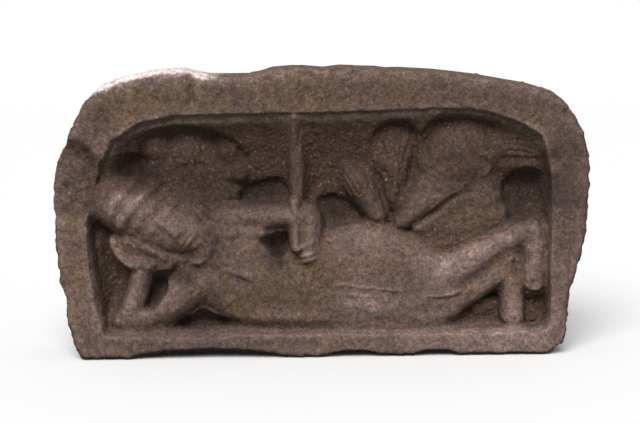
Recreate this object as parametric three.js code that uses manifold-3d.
// A carved stone panel, about 0.87 m wide: one block with a sunk field inside a plain border.
// A person reclines in the field on one elbow, under a many-lobed hood, and an attendant sits at the feet.
// Units are millimetres. X runs along the panel, Z up, and Y into the stone, away from the viewer.
// A depth is measured from the border's face into the stone.
import * as THREE from "three";
import { mergeVertices } from "three/addons/utils/BufferGeometryUtils.js";
import Module from "manifold-3d";

const wasm = await Module();
wasm.setup();

// Driving sizes.
const thickness = 150;
const faceY = -thickness / 2;
const wornEdge = 9;
const wallSlope = 11;
const rootDepth = 84;
const clear = 30;

// How finely the curves are cut into flats.
const outlineSteps = 66;
const openingSteps = 38;
const hollowSteps = 16;
const sectionSides = 10;
const stepsPerStretch = 2;
const endRings = 2;

const stoneLook = new THREE.MeshStandardMaterial({ color: 0x7a655a, roughness: 0.9, metalness: 0 });

// A mesh with shared corners, as a solid that can be joined and cut.
function solidOf(geometry) {
  const bare = geometry.index ? geometry.toNonIndexed() : geometry.clone();
  bare.deleteAttribute("normal");
  bare.deleteAttribute("uv");
  const merged = mergeVertices(bare, 1e-3);
  const mesh = new wasm.Mesh({
    numProp: 3,
    vertProperties: new Float32Array(merged.attributes.position.array),
    triVerts: new Uint32Array(merged.index.array),
  });
  return new wasm.Manifold(mesh);
}

// The solid's triangles, as a geometry that a mesh can show.
function geometryOf(solid) {
  const mesh = solid.getMesh();
  const geometry = new THREE.BufferGeometry();
  geometry.setAttribute("position", new THREE.BufferAttribute(mesh.vertProperties, mesh.numProp));
  geometry.setIndex(new THREE.BufferAttribute(mesh.triVerts, 1));
  geometry.computeVertexNormals();
  return geometry;
}

// A smooth line through a few points of the panel's face, as a flat shape. An
// open line is closed by a straight edge.
function smoothShape(points, steps, { closed = true, tension = 0.5 } = {}) {
  const corners = points.map(([x, z]) => new THREE.Vector3(x, z, 0));
  const line = new THREE.CatmullRomCurve3(corners, closed, "catmullrom", tension);
  const along = line.getSpacedPoints(steps).map((p) => new THREE.Vector2(p.x, p.y));
  return new THREE.Shape(closed ? along.slice(0, -1) : along);
}

// A flat shape of the panel's face, carried into the stone from one depth to another.
function prism(shape, fromDepth, toDepth, options = {}) {
  const geometry = new THREE.ExtrudeGeometry(shape, { depth: toDepth - fromDepth, bevelEnabled: false, ...options });
  geometry.rotateX(Math.PI / 2);
  geometry.translate(0, faceY + toDepth, 0);
  return solidOf(geometry);
}

// A sinking from in front of the face down to a depth, narrower at its floor
// than at the face. Its outline is drawn at the face, or at the floor.
function sinking(shape, depth, slope, atFloor) {
  const taper = {
    bevelEnabled: true,
    bevelThickness: depth,
    bevelSize: slope,
    bevelOffset: atFloor ? 0 : -slope,
    bevelSegments: 1,
  };
  return prism(shape, -clear, 0, taper);
}

// The block: its broken outline, with worn edges at the face and the back.
const outline = [
  [370, 0], [392, 16], [400, 40], [400, 78], [404, 112], [416, 140], [425, 176], [430, 214],
  [434, 262], [434, 306], [431, 345], [421, 377], [403, 405], [380, 427], [348, 440], [300, 448],
  [252, 454], [204, 458], [150, 463], [90, 466], [54, 470], [10, 467], [-40, 471], [-88, 465],
  [-122, 456], [-150, 458], [-190, 460], [-212, 469], [-262, 466], [-306, 458], [-347, 443],
  [-373, 420], [-393, 391], [-408, 360], [-416, 332], [-429, 302], [-427, 282], [-434, 262],
  [-426, 226], [-431, 200], [-425, 172], [-423, 132], [-415, 104], [-412, 62], [-402, 24], [-393, 0],
];
function block() {
  return prism(smoothShape(outline, outlineSteps, { closed: false, tension: 0.35 }), wornEdge, thickness - wornEdge, {
    bevelEnabled: true,
    bevelThickness: wornEdge,
    bevelSize: wornEdge * 0.7,
    bevelOffset: -wornEdge * 0.7,
    bevelSegments: 2,
  });
}

// The sunk field: its opening in the border, and how deep its ground lies at each height.
const opening = [
  [-353, 38], [-358, 90], [-367, 150], [-377, 215], [-369, 262], [-356, 306], [-339, 346],
  [-312, 373], [-274, 388], [-220, 395], [-120, 396], [20, 397], [150, 400], [230, 401],
  [288, 389], [338, 370], [364, 346], [371, 270], [371, 180], [371, 90], [370, 42], [200, 36],
  [0, 38], [-200, 38],
];
const groundProfile = [[404, 3], [388, 14], [358, 30], [326, 43], [290, 53], [250, 58], [48, 58], [38, 12], [30, -clear]];
function field() {
  const front = sinking(smoothShape(opening, openingSteps, { tension: 0.25 }), rootDepth, wallSlope, false);
  const side = new THREE.Shape([
    new THREE.Vector2(404, -clear),
    ...groundProfile.map(([z, depth]) => new THREE.Vector2(z, depth)),
  ]);
  const sweep = new THREE.ExtrudeGeometry(side, { depth: 1000, bevelEnabled: false });
  // The profile's first axis is the height and its second the depth.
  const toPanel = new THREE.Matrix4().set(0, 0, -1, 500, 0, 1, 0, faceY, 1, 0, 0, 0, 0, 0, 0, 1);
  sweep.applyMatrix4(toPanel);
  return front.intersect(solidOf(sweep));
}

// A carved form that stands up from the ground: a row of stations, each
// [x, z, half width, depth of its crest]. Its section is a rounded arch, and
// roundness stretches its two ends, from 0, cut square, to 1, a half circle.
function form(stations, { fullness = 0.62, roundness = 1 } = {}) {
  const places = stations.map(([x, z]) => new THREE.Vector3(x, 0, z));
  const sizes = stations.map(([, , halfWidth, crest]) => new THREE.Vector3(halfWidth, crest, 0));
  const path = new THREE.CatmullRomCurve3(places, false, "catmullrom", 0.5);
  const size = new THREE.CatmullRomCurve3(sizes, false, "catmullrom", 0.5);
  const count = (stations.length - 1) * stepsPerStretch;
  const rings = [];
  const addRing = (t, along, shrink) => {
    const place = path.getPoint(t);
    const { x: halfWidth, y: crest } = size.getPoint(t);
    const heading = path.getTangent(t);
    place.addScaledVector(heading, along * halfWidth * roundness);
    const ring = [];
    for (let i = 0; i <= sectionSides; i++) {
      const angle = (Math.PI * i) / sectionSides;
      const across = Math.cos(angle) * halfWidth * shrink;
      const rise = (rootDepth - crest) * Math.sin(angle) ** fullness * shrink ** fullness;
      ring.push([place.x - heading.z * across, faceY + rootDepth - rise, place.z + heading.x * across]);
    }
    rings.push(ring);
  };
  for (let k = endRings; k >= 1; k--) {
    const a = (Math.PI / 2) * (k / (endRings + 0.35));
    addRing(0, -Math.sin(a), Math.cos(a));
  }
  for (let k = 0; k <= count; k++) addRing(k / count, 0, 1);
  for (let k = 1; k <= endRings; k++) {
    const a = (Math.PI / 2) * (k / (endRings + 0.35));
    addRing(1, Math.sin(a), Math.cos(a));
  }
  return solidOf(loft(rings));
}

// Closed rings of the same number of points, joined in order, with flat ends.
function loft(rings) {
  const sides = rings[0].length;
  const faces = [];
  for (let r = 0; r + 1 < rings.length; r++) {
    for (let i = 0; i < sides; i++) {
      const j = (i + 1) % sides;
      faces.push([r * sides + i, (r + 1) * sides + j, (r + 1) * sides + i]);
      faces.push([r * sides + i, r * sides + j, (r + 1) * sides + j]);
    }
  }
  const last = (rings.length - 1) * sides;
  for (let i = 1; i + 1 < sides; i++) {
    faces.push([0, i + 1, i]);
    faces.push([last, last + i, last + i + 1]);
  }
  const geometry = new THREE.BufferGeometry();
  geometry.setAttribute("position", new THREE.Float32BufferAttribute(rings.flat(2), 3));
  geometry.setIndex(faces.flat());
  return geometry;
}

// The reclining person, from the cap at the left to the feet at the right.
const recliner = {
  cap: form([[-362, 257, 40, 14], [-338, 253, 47, 5], [-312, 245, 54, 2], [-284, 233, 56, 1]], { roundness: 0.15 }),
  head: form([[-290, 234, 54, 2], [-262, 221, 56, 1], [-232, 208, 52, 1], [-206, 195, 40, 4]], { roundness: 0.75 }),
  hairRim: form([[-202, 246, 12, 15], [-181, 222, 13, 11], [-174, 190, 13, 10], [-184, 161, 12, 10], [-208, 149, 10, 12]], { fullness: 0.4 }),
  palm: form([[-318, 184, 17, 22], [-294, 168, 19, 19], [-266, 156, 16, 20]]),
  propHand: form([[-336, 192, 10, 16], [-327, 170, 12, 11], [-306, 154, 13, 9], [-276, 147, 12, 12]], { fullness: 0.5 }),
  propForearm: form([[-290, 142, 21, 11], [-300, 100, 22, 13], [-312, 64, 28, 15]]),
  propUpperArm: form([[-304, 58, 26, 15], [-262, 74, 32, 11], [-225, 102, 38, 10], [-194, 128, 46, 11]]),
  elbowRest: form([[-322, 52, 20, 22], [-270, 51, 19, 20], [-248, 54, 13, 34]], { fullness: 0.45 }),
  body: form([
    [-184, 172, 54, 16], [-150, 148, 86, 11], [-106, 130, 82, 10], [-62, 116, 68, 13], [-22, 117, 70, 11], [20, 127, 80, 7],
    [65, 133, 85, 3], [108, 129, 83, 2], [148, 119, 74, 3], [184, 110, 64, 5], [204, 105, 57, 9],
  ], { fullness: 0.42, roundness: 0.8 }),
  bedding: form([[-142, 48, 12, 46], [-104, 50, 17, 27], [20, 51, 18, 22], [150, 51, 19, 19], [196, 50, 17, 23], [224, 48, 12, 44]]),
  shoulder: form([[-178, 212, 32, 16], [-145, 220, 29, 12]]),
  upperArm: form([[-155, 226, 25, 12], [-110, 227, 24, 8], [-60, 228, 24, 5], [-26, 228, 26, 3]]),
  forearm: form([[-21, 224, 26, 4], [-18, 198, 26, 3], [-17, 174, 25, 2]]),
  fist: form([[-20, 171, 26, 1], [-16, 158, 26, 2]], { roundness: 0.8 }),
  upperShin: form([[205, 131, 41, 5], [245, 154, 35, 6], [286, 177, 28, 10], [330, 194, 25, 13]]),
  upperFoot: form([[343, 202, 21, 11], [346, 162, 22, 11], [345, 120, 20, 13]], { fullness: 0.45 }),
  lowerShin: form([[206, 84, 30, 17], [245, 101, 25, 16], [286, 125, 22, 16], [304, 136, 18, 18]]),
  lowerFoot: form([[306, 120, 20, 17], [311, 88, 22, 13], [312, 56, 24, 11]], { fullness: 0.45 }),
};

// The staff in the fist: low on the ground above, and proud where it crosses the arm.
const staff = {
  upper: form([[-40, 400, 14, 1], [-39, 345, 12, 16], [-39, 252, 11, 20]], { roundness: 0.2, fullness: 0.35 }),
  lower: form([[-40, 257, 12, 1], [-40, 215, 12, 0], [-39, 174, 12, 0]], { roundness: 0.2, fullness: 0.4 }),
};

// The attendant behind the shins, leaning in from the right.
const attendant = {
  head: form([[216, 304, 64, 19], [234, 322, 66, 15]], { fullness: 0.42, roundness: 0.95 }),
  face: form([[222, 304, 50, 20], [196, 286, 44, 21]], { fullness: 0.5 }),
  hairTail: form([[290, 338, 25, 27], [354, 332, 22, 31]], { fullness: 0.5 }),
  neck: form([[256, 290, 37, 23], [262, 244, 41, 25]]),
  body: form([[168, 192, 26, 30], [205, 206, 42, 26], [250, 220, 48, 25], [282, 222, 30, 29]], { fullness: 0.5 }),
  arm: form([[206, 286, 52, 18], [174, 258, 35, 14], [149, 234, 26, 14], [131, 215, 18, 17]]),
};

// An open hand and a leaf, raised side by side between the staff and the attendant.
const raised = {
  hand: form([[50, 300, 20, 34], [58, 286, 27, 29], [77, 256, 25, 26], [95, 222, 20, 26]]),
  leaf: form([[120, 344, 39, 33], [118, 316, 36, 32], [122, 285, 25, 34], [121, 245, 15, 37]], { fullness: 0.42 }),
};

// The hood behind the head: a low dish with a ring of round lobes.
const hoodLobes = [
  [-264, 338, 25], [-212, 326, 38], [-154, 333, 25], [-134, 298, 23], [-146, 264, 20],
];
const hood = [
  form([[-202, 256, 78, 43], [-207, 308, 86, 40]], { fullness: 0.3, roundness: 0.5 }),
  ...hoodLobes.map(([x, z, radius]) => form([[x - 2, z, radius, 36], [x + 2, z, radius, 36]], { fullness: 0.5 })),
];

// Places where the stone is cut back further than the ground, each [outline of the floor, depth].
const wallFlare = 12;
const hollows = {
  overHood: [[[-290, 352], [-264, 366], [-226, 372], [-186, 368], [-152, 356], [-122, 332], [-106, 290], [-116, 245], [-200, 235], [-276, 290]], 56],
  besideCap: [[[-346, 300], [-338, 318], [-310, 330], [-278, 320], [-252, 284], [-290, 270]], 66],
  overArm: [[[-146, 244], [-140, 262], [-108, 278], [-62, 284], [-58, 244]], 67],
  overHip: [[[-4, 244], [14, 258], [46, 246], [72, 218], [60, 200], [12, 196]], 69],
  besideForearm: [[[-364, 200], [-350, 206], [-324, 150], [-320, 118], [-346, 64], [-350, 80]], 68],
  underBody: [[[-240, 48], [-216, 64], [-192, 78], [-164, 68], [-140, 50]], 76],
  roundLeaf: [[[88, 345], [102, 368], [126, 379], [148, 372], [158, 350], [154, 300], [128, 230], [108, 226]], 53],
  roundHand: [[[38, 306], [52, 316], [68, 302], [60, 280]], 54],
  roundHead: [[[166, 330], [176, 366], [204, 385], [258, 386], [292, 366], [250, 330]], 54],
  behindNeck: [[[298, 266], [308, 240], [350, 236], [359, 264], [356, 296], [324, 300]], 72],
  betweenLegs: [[[238, 62], [286, 58], [286, 96], [270, 92]], 76],
  behindFoot: [[[336, 50], [356, 52], [357, 84], [337, 84]], 74],
  underShin: [[[302, 140], [323, 134], [324, 154], [314, 156]], 70],
};

// Openings cut between the limbs once they are carved.
const gaps = {
  underArm: [[[-97, 194], [-56, 197], [-55, 180], [-66, 164], [-82, 178]], 54, 9],
  insideElbow: [[[-284, 82], [-272, 84], [-252, 112], [-256, 122], [-272, 118]], 70, 7],
};

// Damage: stone lost from the border, each [outline of the floor, depth, how far its wall slopes].
const losses = {
  upperLeftBorder: [[[-470, 242], [-400, 244], [-362, 256], [-362, 312], [-392, 338], [-470, 350]], 17, 20],
  topGouge: [[[-207, 500], [-207, 446], [-203, 412], [-199, 412], [-199, 446], [-197, 500]], 7, 5],
};

// Chips from the foot of the face, each [middle, half length, height].
const footChips = [
  [-185, 132, 17], [50, 46, 12], [186, 40, 11], [398, 26, 18],
];
const footChipReach = 34;
function footChip([x, halfLength, height]) {
  const chip = new THREE.SphereGeometry(1, 12, 8);
  chip.scale(halfLength, footChipReach, height);
  chip.translate(x, faceY, 0);
  return solidOf(chip);
}

function cutBack([points, depth, slope = wallFlare]) {
  return sinking(smoothShape(points, hollowSteps), depth, slope, true);
}

// The whole panel, set on its underside and centred on the origin.
function carvedPanel() {
  const cuts = [
    field(),
    ...Object.values(hollows).map(cutBack),
    ...Object.values(losses).map(cutBack),
    ...footChips.map(footChip),
  ];
  const sunk = cuts.reduce((stone, piece) => stone.subtract(piece), block());
  const figures = [recliner, attendant, raised, hood].flatMap((group) => Object.values(group));
  const carved = figures.reduce((stone, piece) => stone.add(piece), sunk);
  const opened = Object.values(gaps).reduce((stone, gap) => stone.subtract(cutBack(gap)), carved);
  const whole = Object.values(staff).reduce((stone, piece) => stone.add(piece), opened);
  const { min, max } = whole.boundingBox();
  return whole.translate([-(min[0] + max[0]) / 2, -(min[1] + max[1]) / 2, -min[2]]);
}

const panel = new THREE.Mesh(geometryOf(carvedPanel()), stoneLook);
panel.name = "carved_panel";

const root = new THREE.Group();
root.add(panel);
export default root;
